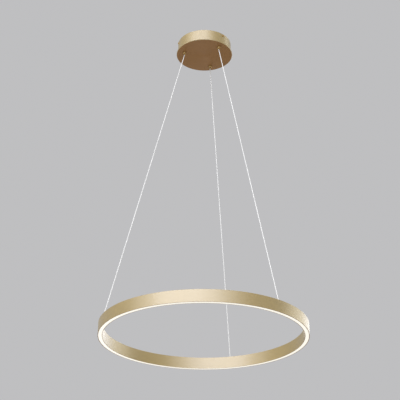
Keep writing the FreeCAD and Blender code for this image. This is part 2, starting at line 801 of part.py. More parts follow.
def ceiling_bracket():
    body = turned("ceiling_bracket", rectangle(
        "entry_hole_radius", "-bracket_thickness", "wall_inside - bracket_margin", "0"))
    # slots for the two ceiling screws, along X
    slots = []
    half = "(fixing_slot_travel / 2)"
    for side in (-1, 1):
        middle = "(%d * fixing_spacing / 2)" % side
        slots.append(rectangle("%s - %s" % (middle, half), "-fixing_slot_radius",
                               "%s + %s" % (middle, half), "fixing_slot_radius"))
    cut_down(body, slots, "0", "bracket_thickness", through=True)
    for side in (-1, 1):
        for end in (-1, 1):
            spot = "(%d * fixing_spacing / 2 + %d * %s)" % (side, end, half)
            cut_down(body, [(spot, "0", "fixing_slot_radius")], "0", "bracket_thickness", through=True)
    # tabs turned down behind the wall, tapped for the side screws
    parts = [body]
    for index in range(3):
        tab = doc.addObject("Part::Box", "tab")
        bind(tab, "Length", "tab_thickness")
        bind(tab, "Width", "tab_width")
        bind(tab, "Height", "tab_height - bracket_thickness / 2")
        face = "(sqrt(pow(wall_inside - loose_clearance; 2) - pow(tab_width / 2; 2)))"
        bind(tab, "Placement.Base.x", "%s - tab_thickness" % face)
        bind(tab, "Placement.Base.y", "-tab_width / 2")
        bind(tab, "Placement.Base.z", "-tab_height")
        foot = doc.addObject("Part::Box", "tab_foot")
        bind(foot, "Length", "bracket_margin + tab_thickness * 2")
        bind(foot, "Width", "tab_width")
        bind(foot, "Height", "bracket_thickness")
        bind(foot, "Placement.Base.x", "%s - bracket_margin - tab_thickness * 2" % face)
        bind(foot, "Placement.Base.y", "-tab_width / 2")
        bind(foot, "Placement.Base.z", "-bracket_thickness")
        hole = cylinder("tab_hole", "side_screw_radius + thread_clearance", "tab_thickness * 3")
        hole.Placement.Rotation = FreeCAD.Rotation(FreeCAD.Vector(0, 1, 0), 90)
        bind(hole, "Placement.Base.x", "%s - tab_thickness * 2" % face)
        bind(hole, "Placement.Base.z", "-side_screw_level")
        arm = doc.addObject("Part::Fuse", "tab_arm")
        arm.Base = tab
        arm.Tool = foot
        parts.append(swing(cut("tapped_tab", arm, hole), cable_angle(index)))
    body.Label = "bracket_disc"
    whole = doc.addObject("Part::MultiFuse", "ceiling_bracket_whole")
    whole.Label = "ceiling_bracket"
    whole.Shapes = parts
    whole.Refine = True


# ---------------------------------------------------------------- driver

def driver():
    along = "(cable_azimuth + 90)"
    half_length = "(driver_length / 2)"
    half_width = "(driver_width / 2)"
    case = padded("driver_case", [rectangle("-" + half_length, "-" + half_width,
                                            half_length, half_width)],
                  "plate_top", "driver_height")
    lug_reach = "(driver_length / 2 + driver_lug_length)"
    add_pad(case, [rectangle("-" + lug_reach, "-driver_lug_length", lug_reach, "driver_lug_length")],
            "plate_top", "driver_lug_thickness")
    inner_length = "(driver_length / 2 - driver_wall)"
    inner_width = "(driver_width / 2 - driver_wall)"
    cut_down(case, [rectangle("-" + inner_length, "-" + inner_width, inner_length, inner_width)],
             "driver_top", "driver_height - driver_wall")
    stud = "(driver_length / 2 + driver_lug_length / 2)"
    cut_down(case, [(stud, "0", "stud_radius + seat_clearance"),
                    ("-" + stud, "0", "stud_radius + seat_clearance")],
             "plate_top + driver_lug_thickness", "driver_lug_thickness", through=True)
    swing(case, along)

    lid = padded("driver_lid", [rectangle("-" + half_length, "-" + half_width,
                                          half_length, half_width)],
                 "driver_top", "driver_lid_thickness")
    swing(lid, along)

    board_length = "(%s - seat_clearance * 2)" % inner_length
    board_width = "(%s - seat_clearance * 2)" % inner_width
    board_bottom = "(plate_top + driver_board_level)"
    board = padded("driver_board", [rectangle("-" + board_length, "-" + board_width,
                                              board_length, board_width)],
                   board_bottom, "driver_board_thickness")
    swing(board, along)
    # ledge of the case under the board's rim
    rest_length = "(%s - driver_wall)" % inner_length
    rest_width = "(%s - driver_wall)" % inner_width
    ledge = case.newObject("PartDesign::Pad", "driver_ledge")
    ledge.Profile = new_sketch(case, "XY_Plane", [
        rectangle("-" + inner_length, "-" + inner_width, inner_length, inner_width),
        rectangle("-" + rest_length, "-" + rest_width, rest_length, rest_width)],
        "plate_top + driver_wall")
    bind(ledge, "Length", "driver_board_level - driver_wall")

    board_top = "(plate_top + driver_board_level + driver_board_thickness)"
    core = padded("driver_transformer", [rectangle(
        "-transformer_length / 2", "-transformer_width / 2",
        "transformer_length / 2", "transformer_width / 2")], board_top, "transformer_height")
    swing(core, along)

    cans = []
    for side in (-1, 1):
        can = cylinder("capacitor", "capacitor_radius", "capacitor_length")
        bind(can, "Placement.Base.x", "capacitor_place")
        bind(can, "Placement.Base.y", "%d * capacitor_spacing / 2" % side)
        bind(can, "Placement.Base.z", board_top)
        cans.append(can)
    swing(grouped("driver_capacitors", cans), along)


def terminals():
    """The mains terminal on the driver's end lug, and the output block on its lid."""
    along = "(cable_azimuth - 90)"
    near = "(driver_length / 2)"
    ways = (-1, 0, 1)
    low = "(plate_top + driver_lug_thickness + stud_nut_height + stud_proud + loose_clearance)"
    block = padded("terminal_block", [rectangle(
        near, "-terminal_width / 2", near + " + terminal_depth", "terminal_width / 2")],
        low, "terminal_height")
    wells = [("%s + terminal_depth / 2" % near, "%d * terminal_pitch" % way,
              "terminal_screw_radius + seat_clearance") for way in ways]
    cut_down(block, wells, low + " + terminal_height", "terminal_screw_depth")
    mouths = []
    for way in ways:
        mouths.append(rectangle("%s + terminal_depth - terminal_way_depth" % near,
                                "%d * terminal_pitch - terminal_way_width / 2" % way,
                                "%s + terminal_depth" % near,
                                "%d * terminal_pitch + terminal_way_width / 2" % way))
    cut_down(block, mouths, low + " + terminal_height", "terminal_way_height")
    swing(block, along)
    screws = []
    for way in ways:
        screw = cylinder("terminal_screw", "terminal_screw_radius", "terminal_screw_height")
        bind(screw, "Placement.Base.x", "%s + terminal_depth / 2" % near)
        bind(screw, "Placement.Base.y", "%d * terminal_pitch" % way)
        bind(screw, "Placement.Base.z", low + " + terminal_height - terminal_screw_depth")
        screws.append(screw)
    swing(grouped("terminal_screws", screws), along)

    output = padded("output_block", [("0", "0", "output_block_radius")],
                    "lid_top", "output_block_height")
    wells = []
    screws = []
    for index in range(3):
        angle = cable_angle(index)
        wells.append(("output_screw_place * sin(%s)" % angle, "output_screw_place * cos(%s)" % angle,
                      "terminal_screw_radius + seat_clearance"))
        screw = cylinder("output_screw", "terminal_screw_radius", "terminal_screw_height")
        screws.append(move(screw, "output_screw_place", angle,
                           "lid_top + output_block_height - terminal_screw_depth"))
    cut_down(output, wells, "lid_top + output_block_height", "terminal_screw_depth")
    grouped("output_screws", screws)


# ---------------------------------------------------------------- build and write

NODES = ["ceiling_bracket", "canopy_wall", "canopy_plate", "canopy_screws", "plate_nuts",
         "driver_case", "driver_lid", "driver_board", "driver_transformer", "driver_capacitors",
         "driver_nuts", "terminal_block", "terminal_screws", "output_block", "output_screws",
         "ring_profile", "ring_diffuser", "led_strip", "led_chips", "ring_joiner",
         "joiner_screws", "anchor_screws", "feed_wires"]
for name in ("gripper_body", "gripper_cap", "gripper_nut", "gripper_plunger", "gripper_spring",
             "cable", "cable_tail", "anchor_block", "cable_end", "top_bushing"):
    NODES += ["%s_%d" % (name, number) for number in (1, 2, 3)]


def build():
    ring_profile()
    ring_diffuser()
    light_source()
    ring_joiner()
    ring_small_parts()
    for index in range(3):
        cable(index)
        cable_tail(index)
        gripper(index)
    canopy()
    side_screws()
    ceiling_bracket()
    driver()
    terminals()
    doc.recompute()


def write():
    for item in doc.Objects:
        if "Invalid" in item.State or "Error" in item.State:
            raise ValueError("%s (%s) failed: %s" % (item.Name, item.Label, item.State))
    nodes = {item.Label: item for item in doc.Objects if item.Label in NODES}
    for name in NODES:
        shape = nodes[name].Shape
        if shape.isNull() or not shape.isValid() or not shape.Solids:
            raise ValueError("%s has no valid solid" % name)
    os.makedirs("parts", exist_ok=True)
    for name in NODES:
        shape = nodes[name].Shape
        shape.exportStep("parts/%s.step" % name)
        print("%-22s %3d solids %12.2f mm3" % (name, len(shape.Solids), shape.Volume))


build()
write()
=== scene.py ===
import json
import math

import bmesh
import bpy
from mathutils import Matrix, Vector

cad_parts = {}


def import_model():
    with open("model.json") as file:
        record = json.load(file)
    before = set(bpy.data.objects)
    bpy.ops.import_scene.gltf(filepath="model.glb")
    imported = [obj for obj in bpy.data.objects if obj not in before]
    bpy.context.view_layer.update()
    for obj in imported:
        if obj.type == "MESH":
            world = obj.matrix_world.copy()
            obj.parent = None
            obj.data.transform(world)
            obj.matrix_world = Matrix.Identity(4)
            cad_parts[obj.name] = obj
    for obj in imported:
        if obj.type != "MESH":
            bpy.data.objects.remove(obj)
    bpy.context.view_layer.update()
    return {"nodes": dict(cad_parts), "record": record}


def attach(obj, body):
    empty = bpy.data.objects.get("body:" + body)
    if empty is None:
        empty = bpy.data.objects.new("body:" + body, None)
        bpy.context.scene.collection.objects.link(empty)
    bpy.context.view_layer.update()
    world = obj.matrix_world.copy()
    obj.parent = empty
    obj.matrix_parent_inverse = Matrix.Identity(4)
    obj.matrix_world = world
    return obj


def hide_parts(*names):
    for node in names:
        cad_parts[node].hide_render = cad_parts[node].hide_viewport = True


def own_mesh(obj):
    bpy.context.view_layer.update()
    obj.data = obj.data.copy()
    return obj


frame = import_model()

scene = bpy.context.scene

# A pendant lamp: a round canopy, three cables and an LED ring. Metres, in the CAD model's frame:
# the origin is the centre of the ceiling face, the lamp hangs to -Z, and the camera stands at -Y.
# Azimuths are from +Y towards +X.

MM = 0.001
FULL_TURN = 2 * math.pi
HALF_TURN = math.pi
QUARTER_TURN = math.pi / 2

# the cables' azimuths, from the first one's in degrees, and the angle from one to halfway to the next
CABLES = 3
FIRST_CABLE = 16.66
AZIMUTHS = [math.radians(FIRST_CABLE + 360 / CABLES * index) for index in range(CABLES)]
HALFWAY = math.radians(180 / CABLES)
SEAM_AZIMUTH = AZIMUTHS[0] + HALFWAY

# ring profile
RING_RADIUS = 300 * MM
RING_WIDTH = 13.2 * MM
RING_HEIGHT = 34.6 * MM
RING_BOTTOM = -1000 * MM
OUTER_WALL = 1.7 * MM
INNER_WALL = 1.3 * MM
WEB = 2 * MM
SHELF_LEVEL = 13 * MM
SHELF = 1.5 * MM
RIB_LEVEL = 5 * MM
RIB_HEIGHT = 1 * MM
RIB_DEPTH = 0.5 * MM
RING_TOP = RING_BOTTOM + RING_HEIGHT
RING_INSIDE = RING_RADIUS - RING_WIDTH
CHAMBER_OUTSIDE = RING_RADIUS - OUTER_WALL
CHAMBER_INSIDE = RING_INSIDE + INNER_WALL
CHAMBER_MIDDLE = (CHAMBER_OUTSIDE + CHAMBER_INSIDE) / 2
BUSHING_PLACE = 290.99 * MM
BUSHING_HOLE = 2.35 * MM
GRUB_HOLE = 1.55 * MM
ANCHOR_SCREW_ANGLE = math.radians(1.4)
JOINER_SCREW_ANGLES = [math.radians(angle) for angle in (-4.5, -1.5, 1.5, 4.5)]
SEAM_GAP = 0.12 * MM
RING_SEGMENTS = 480
RING_EDGE = 0.35 * MM

# diffuser: a skin between the profile's walls, and two straight legs that reach up past its ribs
DIFFUSER_GAP = 0.1 * MM
DIFFUSER_SKIN = 2 * MM
DIFFUSER_LEG = 1 * MM
LEG_ABOVE_RIB = 1 * MM
DIFFUSER_EDGE = 0.3 * MM

# canopy
CANOPY_BOTTOM = -40 * MM
PLATE_THICKNESS = 3.5 * MM
PLATE_BEVEL = 1 * MM
WALL_RADIUS = 85.5 * MM
WALL_THICKNESS = 1.5 * MM
PLATE_RADIUS = WALL_RADIUS + 4.5 * MM
PLATE_TOP = CANOPY_BOTTOM + PLATE_THICKNESS
FLANGE_THICKNESS = 1.5 * MM
FLANGE_WIDTH = 6.95 * MM
LUG_THICKNESS = 2 * MM
STUD_RADIUS = 1.5 * MM
STUD_ABOVE_SEAT = 2.7 * MM
STUD_ROOT = 0.5 * MM
STUD_CLEARANCE = 0.1 * MM
DRIVER_STUD_PLACE = 54.48 * MM
CANOPY_SEGMENTS = 256
PLATE_EDGE = 0.2 * MM
WALL_EDGE = 0.4 * MM
SIDE_SCREW_LEVEL = -7 * MM
SIDE_SCREW_RADIUS = 2 * MM
SIDE_SCREW_LENGTH = 8 * MM
SIDE_SCREW_CLEARANCE = 0.3 * MM
SIDE_HEAD_RADIUS = 3.5 * MM
SIDE_HEAD_HEIGHT = 2.2 * MM
SIDE_HEAD_BEVEL = 0.6 * MM
SIDE_SOCKET_RADIUS = 1.45 * MM
SIDE_SOCKET_DEPTH = 1.3 * MM
SCREW_SEGMENTS = 48
SCREW_EDGE = 0.25 * MM

# grippers: (distance from the gripper's axis, height) in millimetres
GRIPPER_PLACE = 66.27 * MM
SHANK_HOLE = 5 * MM
COLLAR = [(2.6, -45.5), (4.2, -45.5), (5.0, -43.7), (6.0, -41.0), (6.0, -40.0)]
SHANK_TOP = -22.0
SHANK_RADIUS = 4.9
THREAD_START = -35.5
THREAD_PITCH = 0.75
THREAD_DEPTH = 0.4
GRIPPER_CAVITY = [(3.9, -22.0), (3.9, -41.0), (2.6, -41.0)]
GRIPPER_SEGMENTS = 64
GRIPPER_EDGE = 0.18 * MM
NOZZLE = [(1.5, -48.6), (1.95, -49.5), (2.2, -49.5), (2.5, -48.9), (2.5, -41.0), (3.6, -41.0),
          (3.6, -39.0), (2.1, -39.0), (2.1, -36.0), (1.5, -36.0)]
NOZZLE_EDGE = 0.15 * MM
SPRING_RADIUS = 3 * MM
SPRING_WIRE = 0.3 * MM
SPRING_LOW = -38.7 * MM
SPRING_HIGH = -25.3 * MM
SPRING_TURNS = 6
SPRING_TURN_STEPS = 30
SPRING_SIDES = 12

# cables: (distance from the lamp's axis, height) in millimetres, from the nozzle to the ring, and
# from the nozzle up to the output block
CABLE_RADIUS = 1.2 * MM
CABLE_TWIST = 9 * MM
CABLE_STRANDS = 7
CABLE_SIDES = 20
CABLE_STEPS = 60
TAIL_STEPS = 16
CABLE_ROUTE = [(66.34, -49.8), (69.77, -63.79), (287.25, -951.11), (290.68, -965.1)]
TAIL_ROUTE = [(66.27, -49.8), (66.27, -26.5), (66.27, -10.5), (50.27, -10.5), (14.0, -10.5)]

# meshes: how far a cutting tool goes past a face, how corners are rounded (in steps, and within a
# share of the sides beside them), the distances that count as none, the angle that stays sharp,
# and how upright and how near the bottom a face is to count as a top or an underside
OVERSHOOT = 1 * MM
HOLE_SEGMENTS = 32
EDGE_STEPS = 3
EDGE_SHARE = 0.4
SAME_PLACE = 1e-7
NO_LENGTH = 1e-8
SHARP_ANGLE = math.radians(50)
UPRIGHT_NORMAL = 0.7
LEVEL_MARGIN = 0.2 * MM

# finishes
CHAMPAGNE = (0.290, 0.197, 0.034)
# painted shade: the lowest, down-facing faces take this darker, redder gold in place of the shade
# they lie in
PAINTED_SHADE_GOLD = (0.267, 0.130, 0.037)
# painted light: up-facing faces take this paler gold, a lit-looking copy of the finish with little
# clear coat
PAINTED_LIGHT_TOP_GOLD = (0.42, 0.33, 0.16)
BRASS = (0.46, 0.31, 0.13)
CABLE_PALE = (0.74, 0.74, 0.73)
STEEL = (0.60, 0.60, 0.61)
METALLIC = 0.12
COAT_IOR = 2.0
TURNED_LINES = 5200.0
GLOW_SPOTS = 96.0
FINE_GRAIN_DEPTH = 0.02 * MM
GRAIN_DEPTH = 0.03 * MM
STRAND_DEPTH = 0.04 * MM

# studio
BACKDROP = (0.52, 0.52, 0.53)
FILL = (0.60, 0.60, 0.60)
FLOOR_PALE = [(0.3, (0.50, 0.50, 0.505)), (0.7, (0.53, 0.53, 0.535))]
FLOOR_LEVEL = -4.2
FLOOR_RADIUS = 80.0
FLOOR_SEGMENTS = 96
FLOOR_GLOW = 0.4
WHITE_LIGHT = (1.0, 1.0, 1.0)
COOL_LIGHT = (1.0, 1.0, 1.05)
WARM_LIGHT = (1.0, 0.93, 0.74)
LAMP_DISTANCE = 8.0
LAMP_AIM = (0, 0, -0.6)
# name, azimuth from the camera's side towards its right, elevation, span and rise in degrees,
# watts, colour
LAMPS = [
    ("key", -28.5, 22, 47, 36, 430, COOL_LIGHT),
    ("left", -65, 22, 26, 36, 74, WHITE_LIGHT),
    ("right", 6.5, 22, 23, 36, 168, COOL_LIGHT),
    ("far_right", 28, 22, 20, 36, 58, WHITE_LIGHT),
    ("rim", 117, 10, 36, 20, 97, WARM_LIGHT),
    ("high_rim", 112, 38, 18, 14, 24, WARM_LIGHT),
    ("back", 160, 10, 52, 20, 136, WHITE_LIGHT),
    ("low_back", 205, -12, 34, 16, 110, WHITE_LIGHT),
    ("low_side", 270, -12, 26, 16, 40, WHITE_LIGHT),
]

# camera: its place in metres, its angles in degrees, its lens and sensor in millimetres
CAMERA_PLACE = (-0.0131, -2.842, -1.9521)
CAMERA_YAW = 0.02
CAMERA_PITCH = 26.07
CAMERA_ROLL = 0.276
CAMERA_LENS = 94.17
CAMERA_SENSOR = 36


# ---------------------------------------------------------------- node helpers

class Shader:
    """A material's node tree, with short calls for the nodes that the finishes share."""

    def __init__(self, name, **inputs):
        self.material = bpy.data.materials.new(name)
        self.material.use_nodes = True
        self.tree = self.material.node_tree
        self.surface = self.tree.nodes["Principled BSDF"]
        self.where = self.node("ShaderNodeTexCoord").outputs["Object"]
        for socket, value in inputs.items():
            self.surface.inputs[socket.replace("_", " ")].default_value = value

    def node(self, kind, settings=(), **inputs):
        made = self.tree.nodes.new(kind)
        for name, value in dict(settings).items():
            setattr(made, name, value)
        for name, value in inputs.items():
            self.feed(made.inputs[name.replace("_", " ")], value)
        return made

    def feed(self, socket, value):
        if isinstance(value, bpy.types.NodeSocket):
            self.tree.links.new(value, socket)
        else:
            socket.default_value = value

    def math(self, operation, first, second=0.0):
        made = self.node("ShaderNodeMath", {"operation": operation})
        self.feed(made.inputs[0], first)
        self.feed(made.inputs[1], second)
        return made.outputs[0]

    def vector(self, x, y, z):
        return self.node("ShaderNodeCombineXYZ", X=x, Y=y, Z=z).outputs[0]

    def noise(self, where, scale, detail=3.0, roughness=0.5):
        return self.node("ShaderNodeTexNoise", Vector=where, Scale=scale, Detail=detail,
                         Roughness=roughness).outputs[0]

    def ramp(self, factor, stops):
        made = self.node("ShaderNodeValToRGB", Fac=factor)
        band = made.color_ramp
        while len(band.elements) < len(stops):
            band.elements.new(0.5)
        for element, (place, colour) in zip(band.elements, stops):
            element.position = place
            element.color = (*colour, 1.0)
        return made.outputs[0]

    def spread(self, factor, low, high):
        """The factor, from 0 to 1, mapped onto a range."""
        made = self.node("ShaderNodeMapRange", Value=factor, To_Min=low, To_Max=high)
        return made.outputs[0]

    def bump(self, height, strength, distance):
        made = self.node("ShaderNodeBump", Height=height, Strength=strength, Distance=distance)
        self.tree.links.new(made.outputs[0], self.surface.inputs["Normal"])

    def colour(self, source):
        self.feed(self.surface.inputs["Base Color"], source)

    def rough(self, source):
        self.feed(self.surface.inputs["Roughness"], source)

    def split(self):
        made = self.node("ShaderNodeSeparateXYZ", Vector=self.where)
        return made.outputs[0], made.outputs[1], made.outputs[2]

    def around(self, along, across):
        """Coordinates that run round the lamp's axis: coarse along the turn, fine across it."""
        x, y, z = self.split()
        radius = self.math("SQRT", self.math("ADD", self.math("MULTIPLY", x, x),
                                             self.math("MULTIPLY", y, y)))
        unit_x = self.math("DIVIDE", x, radius)
        unit_y = self.math("DIVIDE", y, radius)
        fine = self.math("MULTIPLY", self.math("ADD", z, radius), across)
        return self.vector(self.math("MULTIPLY", unit_x, along),
                           self.math("MULTIPLY", unit_y, along), fine)


def shade(colour, factor):
    return tuple(min(1.0, channel * factor) for channel in colour)


def turned_metal(name, colour, coat, coat_roughness, ior, roughness=0.55):
    """Satin champagne finish: a soft metallic ground with fine turned lines under a clear coat."""
    made = Shader(name, Metallic=METALLIC, Anisotropic=0.4, IOR=ior,
                  Coat_Weight=coat, Coat_IOR=COAT_IOR, Coat_Roughness=coat_roughness)
    tangent = made.node("ShaderNodeTangent", {"direction_type": "RADIAL", "axis": "Z"})
    made.tree.links.new(tangent.outputs[0], made.surface.inputs["Tangent"])
    lines = made.noise(made.around(14.0, TURNED_LINES), 1.0, 4.0, 0.6)
    patches = made.noise(made.where, 22.0, 2.0)
    tone = made.math("ADD", made.math("MULTIPLY", lines, 0.4), made.math("MULTIPLY", patches, 0.6))
    made.colour(made.ramp(tone, [(0.30, shade(colour, 0.96)), (0.50, colour),
                                 (0.70, shade(colour, 1.03))]))
    made.rough(made.spread(tone, roughness - 0.03, roughness + 0.03))
    made.bump(lines, 0.06, FINE_GRAIN_DEPTH)
    return made.material


def plain_metal(name, colour, roughness, grain=900.0):
    """Plated or machined metal: fine directionless grain and slight tarnish."""
    made = Shader(name, Metallic=1.0)
    fine = made.noise(made.where, grain, 3.0)
    broad = made.noise(made.where, grain / 14.0, 2.0)
    made.colour(made.ramp(broad, [(0.30, shade(colour, 0.82)), (0.55, colour),
                                  (0.75, shade(colour, 1.08))]))
    made.rough(made.spread(fine, roughness - 0.07, roughness + 0.08))
    made.bump(fine, 0.25, GRAIN_DEPTH)
    return made.material


def galvanised(name):
    """Zinc-coated sheet with its pale crystal spangle."""
    made = Shader(name, Metallic=1.0, Specular_Tint=(0.6, 0.6, 0.62, 1.0))
    cells = made.node("ShaderNodeTexVoronoi", Vector=made.where, Scale=190.0)
    flakes = made.node("ShaderNodeSeparateXYZ", Vector=cells.outputs["Color"]).outputs[0]
    made.colour(made.ramp(flakes, [(0.0, (0.36, 0.37, 0.39)), (0.6, (0.46, 0.47, 0.49)),
                                   (1.0, (0.56, 0.57, 0.59))]))
    made.rough(made.spread(flakes, 0.55, 0.72))
    made.bump(made.noise(made.where, 700.0), 0.2, GRAIN_DEPTH)
    return made.material


def moulded(name, colour, roughness, grain=1400.0):
    """Moulded plastic: fine spark texture and faint flow marks."""
    made = Shader(name)
    fine = made.noise(made.where, grain, 2.0)
    flow = made.noise(made.where, 30.0, 2.0)
    made.colour(made.ramp(flow, [(0.30, shade(colour, 0.93)), (0.70, shade(colour, 1.04))]))
    made.rough(made.spread(fine, roughness - 0.08, roughness + 0.08))
    made.bump(fine, 0.3, GRAIN_DEPTH)
    return made.material


def circuit_board(name):
    """Solder resist over copper tracks, seen as slightly paler paths."""
    made = Shader(name)
    tracks = made.node("ShaderNodeTexBrick", Vector=made.where, Scale=95.0,
                       Color1=(0.02, 0.11, 0.05, 1), Color2=(0.03, 0.15, 0.07, 1),
                       Mortar=(0.07, 0.26, 0.12, 1))
    made.tree.links.new(tracks.outputs["Color"], made.surface.inputs["Base Color"])
    made.rough(made.spread(made.noise(made.where, 300.0), 0.28, 0.45))
    made.bump(tracks.outputs["Fac"], 0.3, GRAIN_DEPTH)
    return made.material


def cable_jacket(name):
    """A clear jacket over tinned strands: pale, with the strands' fine twist just showing."""
    made = Shader(name, Coat_Weight=0.3, Coat_Roughness=0.2)
    place = made.node("ShaderNodeUVMap").outputs[0]
    parts = made.node("ShaderNodeSeparateXYZ", Vector=place)
    strand = made.math("MULTIPLY", parts.outputs[0], CABLE_STRANDS)
    turn = made.math("MULTIPLY", made.math("ADD", strand, parts.outputs[1]), FULL_TURN)
    stripe = made.math("ADD", made.math("MULTIPLY", made.math("SINE", turn), 0.5), 0.5)
    made.colour(made.ramp(stripe, [(0.0, shade(CABLE_PALE, 0.90)), (0.5, CABLE_PALE),
                                   (1.0, shade(CABLE_PALE, 1.04))]))
    made.rough(made.spread(made.noise(made.where, 500.0), 0.38, 0.50))
    made.bump(stripe, 0.1, STRAND_DEPTH)
    return made.material


def lit_diffuser(name):
    """Opal acrylic lit from within: warm white and even, with the row of sources just showing."""
    made = Shader(name, Roughness=0.42, IOR=1.49, Emission_Strength=1.0)
    x, y = made.split()[:2]
    turn = made.math("ARCTAN2", y, x)
    row = made.math("COSINE", made.math("MULTIPLY", turn, GLOW_SPOTS))
    cloud = made.noise(made.where, 160.0, 2.0)
    level = made.math("ADD", made.spread(row, 0.47, 0.53), made.math("MULTIPLY", cloud, 0.02))
    glow = made.ramp(level, [(0.40, (0.74, 0.705, 0.605)), (0.60, (0.80, 0.77, 0.68))])
    made.tree.links.new(glow, made.surface.inputs["Emission Color"])
    made.colour(made.ramp(cloud, [(0.3, (0.27, 0.26, 0.24)), (0.7, (0.31, 0.30, 0.275))]))
    made.bump(made.noise(made.where, 1800.0), 0.12, FINE_GRAIN_DEPTH)
    return made.material


MATERIALS = {
    "champagne_aluminium": turned_metal("champagne_aluminium", CHAMPAGNE, 1.0, 0.34, 1.7),
    # painted shade and painted light: copies of the champagne finish for undersides (darker) and tops
    # (paler, little coat)
    "painted_shade_underside_metal": turned_metal("painted_shade_underside_metal", PAINTED_SHADE_GOLD, 0.05, 0.45, 1.3),
    "painted_light_top_metal": turned_metal("painted_light_top_metal", PAINTED_LIGHT_TOP_GOLD, 0.05, 0.5, 1.3, 0.65),
    "gripper_brass": plain_metal("gripper_brass", BRASS, 0.28),
    "steel_parts": plain_metal("steel_parts", STEEL, 0.34),
    "spring_steel": plain_metal("spring_steel", (0.50, 0.51, 0.53), 0.30),
    "bracket_steel": galvanised("bracket_steel"),
    "zinc_anchor": plain_metal("zinc_anchor", (0.55, 0.55, 0.57), 0.40, 600.0),
    "joiner_aluminium": plain_metal("joiner_aluminium", (0.68, 0.68, 0.70), 0.42),
    "cable_jacket": cable_jacket("cable_jacket"),
    "bushing_nylon": moulded("bushing_nylon", (0.74, 0.71, 0.63), 0.42),
    "opal_diffuser": lit_diffuser("opal_diffuser"),
    "led_board": moulded("led_board", (0.80, 0.80, 0.78), 0.38),
    "led_chip": moulded("led_chip", (0.82, 0.66, 0.18), 0.30),
    "driver_plastic": moulded("driver_plastic", (0.78, 0.78, 0.76), 0.52, 1100.0),
    "circuit_board": circuit_board("circuit_board"),
    "transformer_tape": moulded("transformer_tape", (0.70, 0.48, 0.06), 0.40),
    "capacitor_can": moulded("capacitor_can", (0.05, 0.06, 0.10), 0.35),
    "terminal_plastic": moulded("terminal_plastic", (0.70, 0.70, 0.68), 0.46),
    "wire_insulation": moulded("wire_insulation", (0.50, 0.03, 0.02), 0.40),
}


# ---------------------------------------------------------------- mesh helpers

def rounded(outline, radius):
    """The outline with each corner taken off by a small arc, but not where it is on the axis."""
    smooth = []
    count = len(outline)
    for index, corner in enumerate(outline):
        here = Vector(corner)
        if here.x == 0:
            smooth.append(here)
            continue
        before = Vector(outline[index - 1]) - here
        after = Vector(outline[(index + 1) % count]) - here
        size = min(radius, before.length * EDGE_SHARE, after.length * EDGE_SHARE)
        start = here + before.normalized() * size
        end = here + after.normalized() * size
        for step in range(EDGE_STEPS + 1):
            share = step / EDGE_STEPS
            smooth.append((1 - share) ** 2 * start + 2 * share * (1 - share) * here
                          + share ** 2 * end)
    return smooth


def lathe(name, outlines, segments, rounding, centre=(0.0, 0.0)):
    """A solid turned about an upright axis from closed outlines of (radius, height) points."""
    mesh = bmesh.new()
    for outline in outlines:
        points = rounded(outline, rounding) if rounding else [Vector(point) for point in outline]
        rings = []
        for segment in range(segments):
            turn = FULL_TURN * segment / segments
            rings.append([mesh.verts.new((centre[0] + point.x * math.cos(turn),
                                          centre[1] + point.x * math.sin(turn), point.y))
                          for point in points])
        for segment, ring in enumerate(rings):
            following = rings[(segment + 1) % segments]
            for index in range(len(points)):
                after = (index + 1) % len(points)
                mesh.faces.new((ring[index], following[index], following[after], ring[after]))
    bmesh.ops.remove_doubles(mesh, verts=mesh.verts, dist=SAME_PLACE)
    bmesh.ops.dissolve_degenerate(mesh, edges=mesh.edges, dist=NO_LENGTH)
    wires = [edge for edge in mesh.edges if not edge.link_faces]
    bmesh.ops.delete(mesh, geom=wires, context="EDGES")
    bmesh.ops.recalc_face_normals(mesh, faces=mesh.faces)
    return as_object(name, mesh)


def as_object(name, mesh):
    data = bpy.data.meshes.new(name)
    mesh.to_mesh(data)
    mesh.free()
    data.shade_smooth()
    made = bpy.data.objects.new(name, data)
    scene.collection.objects.link(made)
    return made


def keep_flats(piece):
    """Crisp hole rims, and weighted normals that keep broad faces flat beside rounded edges."""
    piece.data.set_sharp_from_angle(angle=SHARP_ANGLE)
    modifier = piece.modifiers.new("weighted", "WEIGHTED_NORMAL")
    modifier.keep_sharp = True
    modifier.weight = 100


def dress(piece, slot_name, body, *nodes):
    """Give a new piece its finish, its body, and the CAD nodes that it stands for."""
    piece.data.materials.clear()
    piece.data.materials.append(MATERIALS[slot_name])
    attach(piece, body)
    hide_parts(*nodes)


def paint_shade_and_light_by_side(piece, bottom):
    """Painted shade and light by facing: the lowest faces take a darker gold that paints in their
    shade, and tops a paler, duller copy that paints light on them.
    """
    piece.data.materials.append(MATERIALS["painted_shade_underside_metal"])
    piece.data.materials.append(MATERIALS["painted_light_top_metal"])
    for face in piece.data.polygons:
        face.material_index = 0
        if face.normal.z < -UPRIGHT_NORMAL and face.center.z < bottom + LEVEL_MARGIN:
            face.material_index = 1
        elif face.normal.z > UPRIGHT_NORMAL:
            face.material_index = 2


def polar(radius, azimuth):
    return radius * math.sin(azimuth), radius * math.cos(azimuth)


def peg(x, y, low, high, radius, segments=HOLE_SEGMENTS):
    """A plain upright tool for cutting a hole or adding a stud."""
    outline = [(0.0, low), (radius, low), (radius, high), (0.0, high)]
    return lathe("tool", [outline], segments, 0, (x, y))


def joined(name, parts):
    """Several separate solids as one piece."""
    mesh = bmesh.new()
    for part in parts:
        mesh.from_mesh(part.data)
        bpy.data.objects.remove(part, do_unlink=True)
    return as_object(name, mesh)


